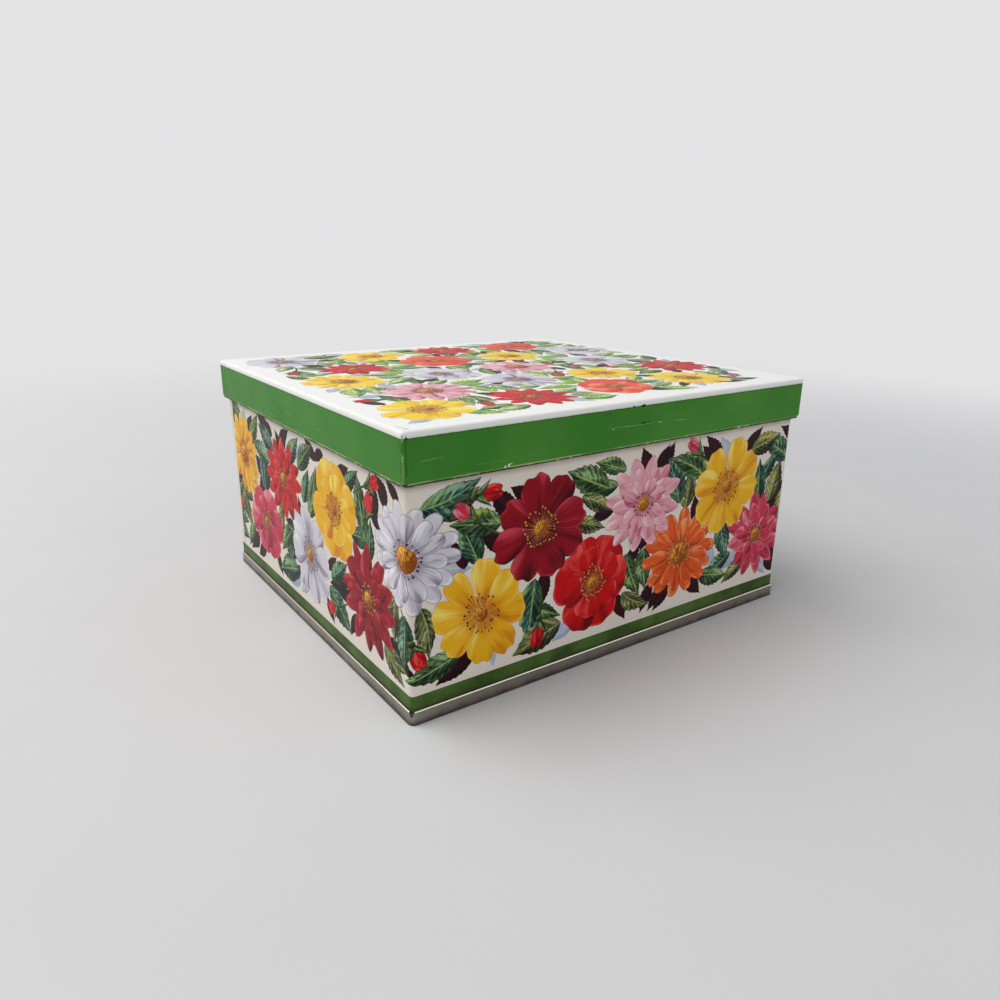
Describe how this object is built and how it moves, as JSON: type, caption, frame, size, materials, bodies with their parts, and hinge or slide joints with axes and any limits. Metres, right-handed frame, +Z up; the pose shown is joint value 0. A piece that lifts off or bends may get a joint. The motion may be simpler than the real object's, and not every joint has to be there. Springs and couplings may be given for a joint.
{
  "type": "tin storage box",
  "caption": "Low rectangular storage tin for papers and keepsakes, folded from printed tinplate, with a slip-over lift-off lid and a folded bottom seam.",
  "frame": {"origin": "on the floor under the middle of the tin", "axes": "+X along the longer side, +Z up, and the longer side in the picture faces -Y"},
  "size_m": [0.24, 0.222, 0.125],
  "materials": {
    "printed_walls": "gloss lacquer over a litho print on tinplate",
    "printed_lid": "gloss lacquer over a litho print on tinplate",
    "bare_tinplate": "bright rolled tinplate, slightly dulled"
  },
  "bodies": {
    "tin": {"body_front_half": "printed_walls", "body_back_half": "printed_walls", "bottom_pan": "bare_tinplate"},
    "lid": {"lid": "printed_lid"}
  },
  "joints": [
    {"name": "lid_lift", "type": "slide", "parent": "tin", "child": "lid", "axis": [0, 0, 1], "range_m": [0, 0.12]}
  ]
}
